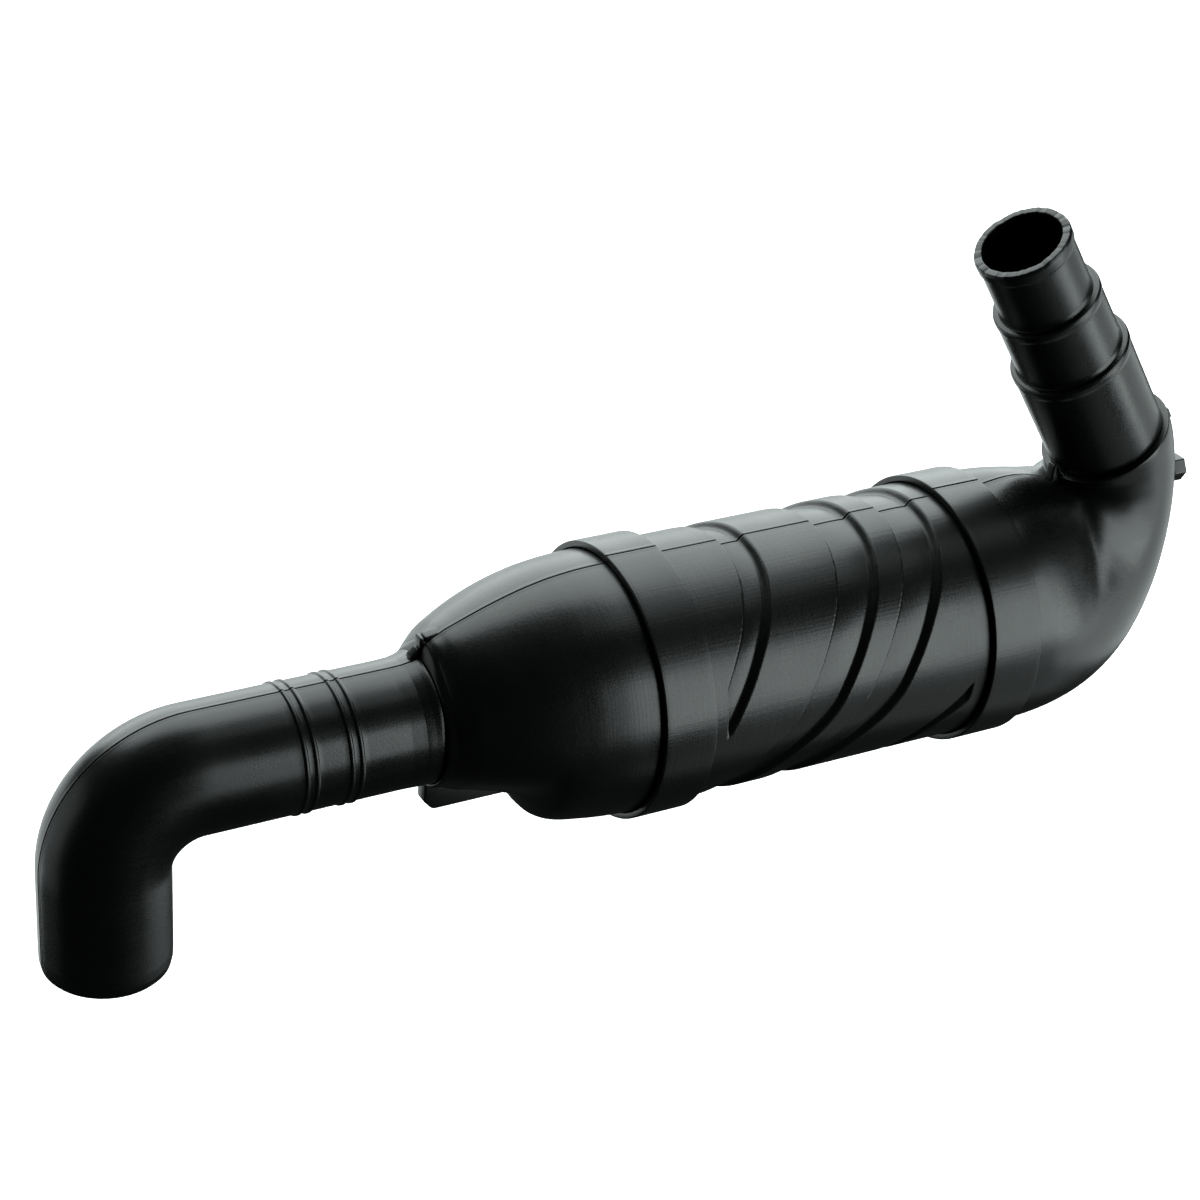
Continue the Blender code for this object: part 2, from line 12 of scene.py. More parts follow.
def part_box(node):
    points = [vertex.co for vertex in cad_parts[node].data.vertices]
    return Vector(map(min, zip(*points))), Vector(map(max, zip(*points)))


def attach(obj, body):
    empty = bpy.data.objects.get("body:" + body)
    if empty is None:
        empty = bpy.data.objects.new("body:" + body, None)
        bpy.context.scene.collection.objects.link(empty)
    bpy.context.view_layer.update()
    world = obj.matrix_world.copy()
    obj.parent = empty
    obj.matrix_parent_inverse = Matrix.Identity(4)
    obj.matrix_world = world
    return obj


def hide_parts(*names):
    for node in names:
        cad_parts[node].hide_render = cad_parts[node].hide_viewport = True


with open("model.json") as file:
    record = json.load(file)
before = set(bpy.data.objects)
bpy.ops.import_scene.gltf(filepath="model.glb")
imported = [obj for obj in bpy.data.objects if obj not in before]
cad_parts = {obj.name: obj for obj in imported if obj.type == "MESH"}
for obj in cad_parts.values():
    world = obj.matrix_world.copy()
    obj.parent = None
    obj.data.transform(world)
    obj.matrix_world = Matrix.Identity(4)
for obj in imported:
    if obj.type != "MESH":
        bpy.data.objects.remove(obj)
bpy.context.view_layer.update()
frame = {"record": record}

MM = 0.001
body_of = {n: b for b, ns in frame["record"]["behaviour"]["bodies"].items() for n in ns}


def joint(name):
    return next(j for j in frame["record"]["behaviour"]["joints"] if j["name"] == name)


# ------------------------------------------------------------------ dimensions
CHAMBER_Z = joint("elbow_swivel")["pos_m"][2] / MM
PIPE_Z = joint("outlet_swivel")["pos_m"][2] / MM
NECK_X = joint("outlet_swivel")["pos_m"][0] / MM
LIP = np.array(joint("tail_swivel")["pos_m"]) / MM
N = np.array(joint("tail_swivel")["axis"], float)
N /= np.linalg.norm(N)
E = np.array([N[2], 0.0, -N[0]])
PLUG = np.array(joint("plug_turn")["pos_m"]) / MM
X = np.array([1.0, 0.0, 0.0])
Y = np.array([0.0, 1.0, 0.0])
Z = np.array([0.0, 0.0, 1.0])

BEND_R = 34.0
PIPE_R, PIPE_BORE = 24.9, 21.9
BODY_R, RING_R = 52.4, 55.4
LIP_R = 27.2
CHAMBER = np.array([0.0, 0.0, CHAMBER_Z])

# ------------------------------------------------------------------ mesh tools
looks = bpy.data.collections.new("looks")
bpy.context.scene.collection.children.link(looks)


def finish_mesh(name, verts, faces, sharp=42.0):
    mesh = bpy.data.meshes.new(name)
    mesh.from_pydata((np.asarray(verts, float) * MM).tolist(), [], faces)
    bm = bmesh.new()
    bm.from_mesh(mesh)
    bm.normal_update()
    if bm.calc_volume(signed=True) < 0.0:
        bmesh.ops.reverse_faces(bm, faces=bm.faces)
    bm.to_mesh(mesh)
    bm.free()
    mesh.validate()
    mesh.shade_smooth()
    mesh.set_sharp_from_angle(angle=math.radians(sharp))
    return mesh


def place(name, mesh, node, mats=None, replaces=True):
    ob = bpy.data.objects.new(name, mesh)
    looks.objects.link(ob)
    for m in (mats or []):
        mesh.materials.append(m)
    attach(ob, body_of[node])
    if replaces:
        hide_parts(node)
    return ob


def skin(name, rings, close=True, **kw):
    """Quads through a stack of equal rings; the last ring joins the first."""
    rings = np.asarray(rings, float)
    k, m, _ = rings.shape
    i = np.arange(k if close else k - 1)
    a = (i[:, None] * m + np.arange(m)[None, :])
    b = (i[:, None] * m + (np.arange(m)[None, :] + 1) % m)
    c = (((i + 1) % k)[:, None] * m + (np.arange(m)[None, :] + 1) % m)
    d = (((i + 1) % k)[:, None] * m + np.arange(m)[None, :])
    faces = np.stack([a, b, c, d], -1).reshape(-1, 4)
    return finish_mesh(name, rings.reshape(-1, 3), faces.tolist(), **kw)


def fillet(points, radius, steps=4, closed=False, radii=None):
    """Rounds the corners of a polyline in the plane."""
    pts = [np.array(p, float) for p in points]
    n = len(pts)
    out = []
    for i in range(n):
        r = radius if radii is None or i not in radii else radii[i]
        if not closed and i in (0, n - 1) or r <= 0.0:
            out.append(pts[i])
            continue
        p, a, b = pts[i], pts[i - 1], pts[(i + 1) % n]
        u, w = a - p, b - p
        lu, lw = np.linalg.norm(u), np.linalg.norm(w)
        if lu < 1e-6 or lw < 1e-6:
            continue
        u, w = u / lu, w / lw
        cosang = float(np.clip(u @ w, -1, 1))
        if cosang < -0.9998:
            out.append(p)
            continue
        half = math.acos(cosang) / 2.0
        cut = min(r / math.tan(half), 0.48 * lu, 0.48 * lw)
        p0, p1 = p + u * cut, p + w * cut
        for t in np.linspace(0.0, 1.0, steps + 1):
            out.append(p0 * (1 - t) ** 2 + p * 2 * t * (1 - t) + p1 * t ** 2)
    return np.array(out)


def refine(points, gap, closed=False):
    """Adds points so that no span of the polyline is longer than gap."""
    pts = np.asarray(points, float)
    out = []
    n = len(pts)
    for i in range(n if closed else n - 1):
        a, b = pts[i], pts[(i + 1) % n]
        k = max(1, int(math.ceil(np.linalg.norm(b - a) / gap)))
        for t in range(k):
            out.append(a + (b - a) * t / k)
    if not closed:
        out.append(pts[-1])
    return np.array(out)


def angles(count, seam=0.0095):
    """Angles round a section, finer next to the parting line at 0 and pi."""
    base = np.linspace(0.0, 2.0 * math.pi, count, endpoint=False)
    extra = []
    for c in (0.0, math.pi):
        for d in (-2.4, -1.5, -0.9, -0.45, 0.0, 0.45, 0.9, 1.5, 2.4):
            extra.append((c + d * seam) % (2.0 * math.pi))
    keep = [a for a in base
            if min(abs((a - e + math.pi) % (2 * math.pi) - math.pi) for e in extra) > seam * 0.7]
    return np.array(sorted(keep + extra))


def seam_dip(a, seam=0.0095):
    """Profile across the parting line: a fine valley between two soft lips."""
    out = np.zeros_like(a)
    for c in (0.0, math.pi):
        d = np.abs((a - c + math.pi) % (2 * math.pi) - math.pi) / seam
        out += -1.0 * np.exp(-(d / 0.55) ** 2) + 0.28 * np.exp(-((d - 1.3) / 0.6) ** 2)
    return out


def smooth(t):
    t = np.clip(t, 0.0, 1.0)
    return t * t * (3.0 - 2.0 * t)


def interp(points, x):
    """Smooth curve through a table of stations (monotone cubic)."""
    xs = np.array([p[0] for p in points], float)
    ys = np.array([p[1] for p in points], float)
    h = np.diff(xs)
    m = np.diff(ys) / h
    d = np.zeros_like(ys)
    d[1:-1] = np.where(m[:-1] * m[1:] > 0,
                       2 * m[:-1] * m[1:] / np.where(m[:-1] + m[1:] == 0, 1, m[:-1] + m[1:]), 0)
    d[0], d[-1] = m[0], m[-1]
    x = np.asarray(x, float)
    i = np.clip(np.searchsorted(xs, x) - 1, 0, len(h) - 1)
    t = np.clip((x - xs[i]) / h[i], 0, 1)
    return ((2 * t ** 3 - 3 * t ** 2 + 1) * ys[i] + (t ** 3 - 2 * t ** 2 + t) * h[i] * d[i]
            + (-2 * t ** 3 + 3 * t ** 2) * ys[i + 1] + (t ** 3 - t ** 2) * h[i] * d[i + 1])


def spun(name, profile, center, axis, count=160, closed=True, wobble=None, seam=0.0, **kw):
    """A (radius, height) profile turned about an axis through center."""
    axis = np.asarray(axis, float)
    side = np.cross(axis, Y)      # in the plane y = 0
    side = -side if side @ (Z - 0.5 * X) < 0 else side
    a = angles(count) if seam else np.linspace(0, 2 * math.pi, count, endpoint=False)
    dip = seam_dip(a) * seam if seam else np.zeros_like(a)
    rings = []
    for j, (r, h) in enumerate(profile):
        rr = r + dip
        hh = np.full_like(a, h)
        if wobble is not None:
            dr, dh = wobble(r, h, a)
            rr, hh = rr + dr, hh + dh
        rings.append(center + side * (rr * np.cos(a))[:, None] + Y * (rr * np.sin(a))[:, None]
                     + axis * hh[:, None])
    return skin(name, rings, close=closed, **kw)


# ------------------------------------------------------------------ materials
def node_set(mat):
    mat.use_nodes = True
    nt = mat.node_tree
    nt.nodes.clear()
    out = nt.nodes.new("ShaderNodeOutputMaterial")
    bsdf = nt.nodes.new("ShaderNodeBsdfPrincipled")
    nt.links.new(bsdf.outputs[0], out.inputs[0])
    return nt, bsdf


def noise(nt, vec, scale, detail=4.0, rough=0.55, stretch=(1, 1, 1), rot=(0, 0, 0)):
    mp = nt.nodes.new("ShaderNodeMapping")
    mp.inputs["Scale"].default_value = stretch
    mp.inputs["Rotation"].default_value = rot
    nt.links.new(vec, mp.inputs["Vector"])
    nz = nt.nodes.new("ShaderNodeTexNoise")
    nz.inputs["Scale"].default_value = scale
    nz.inputs["Detail"].default_value = detail
    nz.inputs["Roughness"].default_value = rough
    nt.links.new(mp.outputs[0], nz.inputs["Vector"])
    return nz.outputs["Fac"]


def remap(nt, val, lo, hi, a=0.0, b=1.0):
    mr = nt.nodes.new("ShaderNodeMapRange")
    mr.inputs["From Min"].default_value = lo
    mr.inputs["From Max"].default_value = hi
    mr.inputs["To Min"].default_value = a
    mr.inputs["To Max"].default_value = b
    nt.links.new(val, mr.inputs["Value"])
    return mr.outputs[0]


def math_node(nt, op, a, b):
    mn = nt.nodes.new("ShaderNodeMath")
    mn.operation = op
    for i, v in enumerate((a, b)):
        if isinstance(v, (int, float)):
            mn.inputs[i].default_value = v
        else:
            nt.links.new(v, mn.inputs[i])
    return mn.outputs[0]


def bump(nt, height, distance, strength, normal=None):
    b = nt.nodes.new("ShaderNodeBump")
    b.inputs["Distance"].default_value = distance
    b.inputs["Strength"].default_value = strength
    nt.links.new(height, b.inputs["Height"])
    if normal is not None:
        nt.links.new(normal, b.inputs["Normal"])
    return b.outputs[0]


def mix_color(nt, fac, a, b):
    mx = nt.nodes.new("ShaderNodeMix")
    mx.data_type = 'RGBA'
    if isinstance(fac, (int, float)):
        mx.inputs[0].default_value = fac
    else:
        nt.links.new(fac, mx.inputs[0])
    for i, v in ((6, a), (7, b)):
        if isinstance(v, tuple):
            mx.inputs[i].default_value = v
        else:
            nt.links.new(v, mx.inputs[i])
    return mx.outputs[2]


def moulded(name, streak=(0.0, 0.0, 0.0), rough=0.40, grain=1.0, weave=0.0, streak_amount=0.0):
    """Black polyethylene: fine grain, faint flow streaks, slight dust and rubbed edges."""
    mat = bpy.data.materials.new(name)
    nt, bsdf = node_set(mat)
    tc = nt.nodes.new("ShaderNodeTexCoord").outputs["Object"]
    fine = noise(nt, tc, 1500.0, 3.0, 0.6)
    mid = noise(nt, tc, 420.0, 4.0, 0.55)
    cloud = noise(nt, tc, 26.0, 5.0, 0.6)
    big = noise(nt, tc, 9.0, 3.0, 0.5)
    # colour: very dark, a little cooler and paler where dust has settled
    dust = remap(nt, cloud, 0.52, 0.78)
    col = mix_color(nt, math_node(nt, 'MULTIPLY', dust, 0.55), (0.0016, 0.0017, 0.0018, 1), (0.0040, 0.0044, 0.0046, 1))
    speck = remap(nt, mid, 0.70, 0.76)
    col = mix_color(nt, math_node(nt, 'MULTIPLY', speck, 0.35), col, (0.012, 0.013, 0.0135, 1))
    geo = nt.nodes.new("ShaderNodeNewGeometry")
    edge = remap(nt, geo.outputs["Pointiness"], 0.53, 0.60)
    wear = math_node(nt, 'MULTIPLY', edge, remap(nt, mid, 0.35, 0.65))
    col = mix_color(nt, math_node(nt, 'MULTIPLY', wear, 0.45), col, (0.014, 0.015, 0.0155, 1))
    nt.links.new(col, bsdf.inputs["Base Color"])
    # gloss
    r = remap(nt, cloud, 0.3, 0.7, rough - 0.035, rough + 0.045)
    r = math_node(nt, 'ADD', r, remap(nt, fine, 0.3, 0.7, -0.03, 0.03))
    r = math_node(nt, 'ADD', r, math_node(nt, 'MULTIPLY', wear, 0.08))
    # relief
    normal = bump(nt, big, 0.0012, 0.25)
    normal = bump(nt, mid, 0.00012, 0.10 * grain, normal)
    normal = bump(nt, fine, 0.00005, 0.55 * grain, normal)
    if weave:
        # fine crossed tool marks left by the mould's surface
        wv = []
        for st in ((1, 0.02, 0.02), (0.02, 1, 1)):
            wv.append(noise(nt, tc, 1150.0, 1.0, 0.4, stretch=st))
        normal = bump(nt, math_node(nt, 'ADD', wv[0], wv[1]), 0.00006, weave, normal)
    if streak_amount:
        st = noise(nt, tc, 520.0, 3.0, 0.6, stretch=streak)
        normal = bump(nt, st, 0.00007, streak_amount, normal)
        r = math_node(nt, 'ADD', r, remap(nt, st, 0.35, 0.65, -0.04 * streak_amount, 0.05 * streak_amount))
    nt.links.new(r, bsdf.inputs["Roughness"])
    nt.links.new(normal, bsdf.inputs["Normal"])
    bsdf.inputs["IOR"].default_value = 1.52
    return mat


def rubber(name):
    mat = bpy.data.materials.new(name)
    nt, bsdf = node_set(mat)
    tc = nt.nodes.new("ShaderNodeTexCoord").outputs["Object"]
    fine = noise(nt, tc, 2600.0, 3.0, 0.6)
    cloud = noise(nt, tc, 60.0, 4.0, 0.6)
    col = mix_color(nt, remap(nt, cloud, 0.4, 0.75), (0.012, 0.012, 0.0125, 1), (0.028, 0.027, 0.026, 1))
    nt.links.new(col, bsdf.inputs["Base Color"])
    nt.links.new(remap(nt, cloud, 0.3, 0.7, 0.55, 0.72), bsdf.inputs["Roughness"])
    nt.links.new(bump(nt, fine, 0.00004, 0.5), bsdf.inputs["Normal"])
    return mat


def steel(name):
    mat = bpy.data.materials.new(name)
    nt, bsdf = node_set(mat)
    tc = nt.nodes.new("ShaderNodeTexCoord").outputs["Object"]
    brushed = noise(nt, tc, 1800.0, 4.0, 0.6, stretch=(1.0, 0.06, 0.06))
    cloud = noise(nt, tc, 90.0, 4.0, 0.6)
    col = mix_color(nt, remap(nt, cloud, 0.4, 0.7), (0.52, 0.53, 0.54, 1), (0.40, 0.40, 0.40, 1))
    nt.links.new(col, bsdf.inputs["Base Color"])
    bsdf.inputs["Metallic"].default_value = 1.0
    nt.links.new(remap(nt, brushed, 0.3, 0.7, 0.24, 0.40), bsdf.inputs["Roughness"])
    nt.links.new(bump(nt, brushed, 0.00002, 0.5), bsdf.inputs["Normal"])
    return mat


M_PIPE = moulded("plastic_pipe", rough=0.29, grain=0.9, streak=(0.02, 1, 1), streak_amount=0.25)
M_NOSE = moulded("plastic_nose", rough=0.30, grain=1.0, weave=0.35)
M_BARREL = moulded("plastic_barrel", rough=0.31, grain=1.1, weave=0.55)
M_RING = moulded("plastic_ring", rough=0.30, grain=1.0, weave=0.4)
M_ELBOW = moulded("plastic_elbow", rough=0.29, grain=0.8, streak=(0.02, 1, 1), streak_amount=0.3)
M_TAIL = moulded("plastic_tail", rough=0.29, grain=0.7, streak=(1, 1, 0.03), streak_amount=0.3)
M_SMALL = moulded("plastic_small", rough=0.33, grain=1.0)
M_RUBBER = rubber("seal_rubber_black")
M_STEEL = steel("snap_ring_steel")

# ------------------------------------------------------------------ outlet bend
LEG = PIPE_Z - BEND_R
ARC = BEND_R * math.pi / 2.0


def on_path(s):
    if s <= LEG:
        return np.array([0.0, 0.0, s]), np.array([-1.0, 0.0, 0.0])
    if s <= LEG + ARC:
        t = (s - LEG) / BEND_R
        return (np.array([BEND_R - BEND_R * math.cos(t), 0.0, LEG + BEND_R * math.sin(t)]),
                np.array([-math.cos(t), 0.0, math.sin(t)]))
    return np.array([BEND_R + s - LEG - ARC, 0.0, PIPE_Z]), Z.copy()


def sx(x):
    return LEG + ARC + x - BEND_R


outer = [(0.0, PIPE_BORE + 0.3), (0.0, 22.9), (1.3, 24.1), (4.2, 24.75), (8.0, PIPE_R)]
for cx in (71.7, 89.6):
    for d in (-2.0, 2.0):
        outer += [(sx(cx + d - 1.05), PIPE_R), (sx(cx + d - 0.35), PIPE_R + 0.62),
                  (sx(cx + d + 0.35), PIPE_R + 0.62), (sx(cx + d + 1.05), PIPE_R)]
outer += [(sx(112.0), PIPE_R), (sx(118.0), 25.1), (sx(121.6), 25.75), (sx(123.6), 26.4),
          (sx(NECK_X + 0.4), 26.6), (sx(NECK_X + 0.4), PIPE_R),
          (sx(131.0), PIPE_R), (sx(131.0), 22.2), (sx(134.0), 22.2), (sx(134.0), PIPE_R),
          (sx(141.0), PIPE_R), (sx(141.0), 22.8), (sx(143.4), 22.8), (sx(143.4), PIPE_R),
          (sx(148.6), PIPE_R), (sx(149.6), 24.2)]
inner = [(sx(149.6), 19.9), (sx(121.0), 19.9), (sx(112.0), PIPE_BORE), (0.0, PIPE_BORE)]
prof = fillet(outer + inner, 0.45, 3, closed=True)
prof = refine(prof, 2.2, closed=True)
ang = angles(150, 0.018)
dip = seam_dip(ang, 0.018)
rings = []
for s, r in prof:
    c, d = on_path(s)
    # the line runs over the whole outer side; it is trimmed off at the rim
    on = smooth((s - 2.0) / 4.0) * (1.0 if r > 23.0 else 0.0) * (1.0 if s < sx(NECK_X) - 1.0 else 0.0)
    rr = r + 0.34 * on * dip
    if s > sx(112.0) and r > 25.2:
        # the flare is full over the top and runs out down the sides
        rr = rr - (r - 25.2) * (1.0 - 0.25 * smooth((np.cos(ang) + 0.6) / 0.8)) * smooth((0.72 - np.cos(ang)) / 0.6)
    rings.append(c + d * (rr * np.cos(ang))[:, None] + Y * (rr * np.sin(ang))[:, None])
place("outlet_bend_skin", skin("outlet_bend_skin", rings, sharp=50), "outlet_bend", mats=[M_PIPE])

# ------------------------------------------------------------------ nose
NOSE_TOP = ((125.2, 28.0), (127.5, 29.4), (130.5, 32.2), (134.8, 35.7), (140.0, 38.4), (147.0, 41.7),
            (152.0, 43.8), (161.0, 46.9), (170.0, 49.2), (180.0, 51.0), (192.0, 52.1), (202.0, BODY_R))
NOSE_LOW = ((125.2, 26.0), (127.5, 26.2), (130.5, 26.9), (134.8, 28.6), (140.0, 29.9), (147.0, 31.8),
            (152.0, 33.3), (156.0, 34.7), (158.8, 36.0), (161.0, 37.4), (164.0, 40.8), (168.0, 46.8),
            (173.0, 49.0), (181.0, 50.4), (192.0, 51.8), (202.0, BODY_R))
# how far the parting line stands above the rest of the nose's top
NOSE_RIDGE = ((125.2, 0.5), (127.3, 4.1), (128.6, 3.9), (133.3, 2.2), (141.4, 1.1), (149.6, 0.4), (160.0, 0.0),
              (202.0, 0.0))


def nose_r(x, a):
    w = smooth((np.cos(a) + 0.8) / 0.8)
    off = np.abs((a + math.pi) % (2 * math.pi) - math.pi)
    ridge = np.exp(-(off / (0.34 + 0.014 * max(0.0, min(x - 126.0, 20.0)))) ** 2)
    return w * (interp(NOSE_TOP, x) + interp(NOSE_RIDGE, x) * ridge) + (1.0 - w) * interp(NOSE_LOW, x)


def ring_x(x, r, a, z=CHAMBER_Z):
    r = np.broadcast_to(r, a.shape)
    return np.stack([np.full_like(a, x), r * np.sin(a), z + r * np.cos(a)], -1)


ang = angles(220)
dip = seam_dip(ang)
rings = []
for x, inset in ((125.2, 0.9), (125.25, 0.55), (125.4, 0.3), (125.6, 0.12)):
    rings.append(ring_x(x, nose_r(x, ang) - inset, ang))
xs = np.concatenate([np.arange(125.9, 130.0, 0.4), np.arange(130.2, 170.0, 0.8), np.arange(170.0, 202.0, 1.6), [202.0]])
for x in xs:
    groove = -0.30 * math.exp(-((x - 127.9) / 0.4) ** 2) * smooth((np.cos(ang) + 0.2) / 0.4)
    groove = groove * smooth((np.abs(np.sin(ang)) - 0.22) / 0.1)
    rings.append(ring_x(x, nose_r(x, ang) + 0.38 * dip * smooth((x - 125.5) / 2.0) + groove, ang))
for x, r in fillet(((204.0, BODY_R), (212.2, BODY_R), (212.2, 48.9), (215.0, 48.9), (215.0, 45.9),
                    (218.4, 45.9), (218.4, 48.9), (220.8, 48.9), (221.6, 48.2), (221.6, 43.6),
                    (212.0, 43.6)), 0.3, 3):
    rings.append(ring_x(x, r, ang))
for x in (203.0, 192.0, 181.0, 175.0, 169.0, 165.0, 162.0, 158.0, 154.5):
    rings.append(ring_x(x, nose_r(x, ang) - 3.0, ang))
for x, r in ((150.6, 25.3), (143.7, 25.3), (143.7, 26.5), (140.7, 26.5), (140.7, 25.3), (126.0, 25.3),
             (125.2, 26.0)):
    rings.append(ring_x(x, r, ang, PIPE_Z))
place("nose_shell_skin", skin("nose_shell_skin", rings, sharp=50), "nose_shell", mats=[M_NOSE])

# ------------------------------------------------------------------ coupling rings
for node, x0, x1, rib in (("front_coupling_ring", 202.3, 224.3, (212.55, 213.65)),
                          ("rear_coupling_ring", 351.8, 374.0, (362.75, 363.65))):
    p = [(x0, 52.9), (x0, RING_R), (x1, RING_R), (x1, 52.9), (rib[1], 52.9), (rib[1], 50.2),
         (rib[0], 50.2), (rib[0], 52.9)]
    prof = fillet(p, 0.9, 6, closed=True, radii={0: 0.3, 1: 0.7, 2: 0.35, 3: 0.3, 4: 0.1, 5: 0.3, 6: 0.3, 7: 0.1})
    prof = refine(prof, 2.5, closed=True)
    ang = angles(260)
    dip = seam_dip(ang)
    rings = [ring_x(x, r + (0.38 * dip if r > 54.0 else 0.0), ang) for x, r in prof]
    place(node + "_skin", skin(node + "_skin", rings, sharp=50), node, mats=[M_RING])

# ------------------------------------------------------------------ barrel
GROOVES = ((251.3, 263.0), (293.6, 312.0), (323.9, 341.5), (377.5, 384.5))
G_LO, G_HI, G_DEPTH = 230.8, 345.4, 2.3
# shift along X against the height angle, 90 at the top and -90 underneath
SLANT = ((-90.0, -67.0), (-78.0, -66.6), (-65.0, -65.2), (-52.0, -62.2), (-40.0, -57.2), (-30.0, -51.0),
         (-20.0, -43.4), (-10.0, -35.8), (0.0, -29.4), (10.0, -24.8), (20.0, -20.0), (30.0, -15.2),
         (40.0, -10.4), (48.0, -7.2), (57.0, -4.3), (66.0, -2.0), (78.0, -0.4), (90.0, 0.0))


def shift(a):
    return interp(SLANT, 90.0 - np.abs(np.degrees((a + math.pi) % (2 * math.pi) - math.pi)))


def wall(t):
    """Rounded step from 0 to 1 as t goes from 0 to 1."""
    return smooth(np.clip(t, 0, 1))


ang = angles(384)
dip = seam_dip(ang)
s = shift(ang)
slope = np.abs(np.gradient(s, ang)) / BODY_R            # dx per unit of arc
stretch = np.sqrt(1.0 + slope ** 2)                       # keeps the walls as wide square to the groove


def barrel_r(x):
    d = np.zeros_like(ang)
    for lo, hi in GROOVES:
        a, b = lo + s, hi + s
        g = wall((x - a) / (0.62 * stretch)) * wall((b + 0.8 * stretch - x) / (3.4 * stretch))
        g = g * wall((x - G_LO) / 1.2) * wall((G_HI - x) / 1.2)
        # a narrow remnant is also shallower
        left = np.maximum(a, G_LO)
        right = np.minimum(b, G_HI)
        run_out = smooth((right - left) / 2.2)
        g = g * run_out
        # the floor is slightly crowned, with a tight corner at the foot of the steep wall
        mid = np.clip((x - a) / (b - a), 0, 1)
        d += 1.12 * G_DEPTH * g * (1.0 - 0.10 * np.sin(math.pi * mid))
        inside = wall((x - G_LO) / 1.2) * wall((G_HI - x) / 1.2) * run_out
        d += 0.38 * inside * np.exp(-((x - a - 0.72 * stretch) / (0.30 * stretch)) ** 2)
    return BODY_R - d


rings = []
xs = np.concatenate([[214.0, 214.3], np.arange(216.0, 229.0, 2.0), np.arange(229.0, 346.0, 0.3),
                     np.arange(347.0, 362.0, 2.5), [362.1, 362.4]])
for x in xs:
    r = barrel_r(x) + 0.38 * dip * (1.0 if 224.0 < x < 352.0 else 0.0)
    if x in (214.0, 362.4):
        r = r - 0.3
    rings.append(ring_x(x, r, ang))
for x, r in ((362.4, 49.3), (354.2, 49.3), (354.2, 50.7), (351.4, 50.7), (351.4, 49.3), (349.4, 49.3),
             (349.4, 46.8), (222.0, 46.8), (222.0, 49.3), (214.0, 49.3)):
    rings.append(ring_x(x, r, ang))
place("barrel_skin", skin("barrel_skin", rings, sharp=55), "barrel", mats=[M_BARREL])

# ------------------------------------------------------------------ inlet elbow
ELBOW_X, ELBOW_R = 375.0, 52.8
HANDLE_OUT, HANDLE_IN = 113.3, 26.6
CREASE, NARROW, EGG, CROWN, COLLAR = 0.70, -0.214, 0.141, 3.57, 1.8
HALF_WIDTH = ((0.0, 52.8), (0.04, 52.4), (0.09, 51.1), (0.14, 49.2), (0.2, 46.2), (0.3, 40.4), (0.38, 35.7),
              (0.46, 31.8), (0.55, 28.8),
              (0.65, 27.3), (0.75, 26.7), (0.85, 26.6), (0.95, 27.0), (1.0, 27.2))
OUT0 = np.array([ELBOW_X, 0, CHAMBER_Z - ELBOW_R])
OUT3 = LIP - N * COLLAR + E * LIP_R
IN0 = np.array([ELBOW_X, 0, CHAMBER_Z + ELBOW_R])
IN3 = LIP - N * COLLAR - E * LIP_R


def elbow_pts(t):
    p1, p2 = OUT0 + X * HANDLE_OUT, OUT3 - N * HANDLE_IN
    out = OUT0 * (1 - t) ** 3 + p1 * (3 * (1 - t) ** 2 * t) + p2 * (3 * (1 - t) * t ** 2) + OUT3 * t ** 3
    low = IN3 - N * 0.6 - Z * 1.05
    if t <= CREASE:
        u = t / CREASE
        return IN0 + (low - IN0) * u + Z * (CROWN * math.sin(math.pi * u)), out
    return low + (IN3 - low) * ((t - CREASE) / (1 - CREASE)), out


def soft_inside(t):
    """The throat's line with its crease eased, for everything but the crease itself."""
    reach = min(0.10, t, 1.0 - t)
    k = np.linspace(-1.0, 1.0, 13)
    w = 1.0 - np.abs(k) * 0.9
    pts = np.array([elbow_pts(t + reach * v)[0] for v in k])
    return (pts * w[:, None]).sum(0) / w.sum()


ang = angles(240)
dip = seam_dip(ang)


def oval(ins, out, w, egg, a=None, swell=0.0):
    a = ang if a is None else a
    c, r = (ins + out) / 2, np.linalg.norm(out - ins) / 2
    d = (ins - out) / (2 * r)
    return (c + d * ((r + swell) * np.cos(a))[:, None]
            + Y * ((w + swell) * np.sin(a) * (1 - egg * np.cos(a)))[:, None])


rings = []
for x, r in fillet(((350.0, 43.6), (350.0, 48.2), (350.7, 48.9), (351.7, 48.9), (351.7, 46.6), (353.9, 46.6),
                    (353.9, 48.9), (357.3, 48.9), (357.3, 45.9), (360.7, 45.9), (360.7, 48.9),
                    (364.0, 48.9), (364.0, BODY_R), (374.1, BODY_R)), 0.3, 3):
    rings.append(ring_x(x, r, ang))
for t in np.linspace(0.0, 1.0, 120):
    hard, out = elbow_pts(t)
    ins = soft_inside(t)
    r = np.linalg.norm(out - ins) / 2
    w = float(interp(HALF_WIDTH, t))
    egg = EGG * math.sin(math.pi * t) * (1.0 - smooth((t - 0.45) / 0.35))
    fade = smooth(t / 0.03) * smooth((0.985 - t) / 0.03)
    off = np.abs((ang + math.pi) % (2 * math.pi) - math.pi)
    # the mitre between chamber and neck shows as a soft valley down each side
    deg = np.degrees(off)
    valley = np.exp(-((t - 0.50 + (deg - 50.0) * 0.0078) / 0.075) ** 2)
    valley = -1.5 * valley * smooth((deg - 20.0) / 30.0) * smooth((98.0 - deg) / 44.0)
    ring = oval(ins, out, w, egg, swell=0.36 * fade * dip + valley)
    rings.append(ring + (hard - ins) * np.exp(-(off / 0.5) ** 2)[:, None])
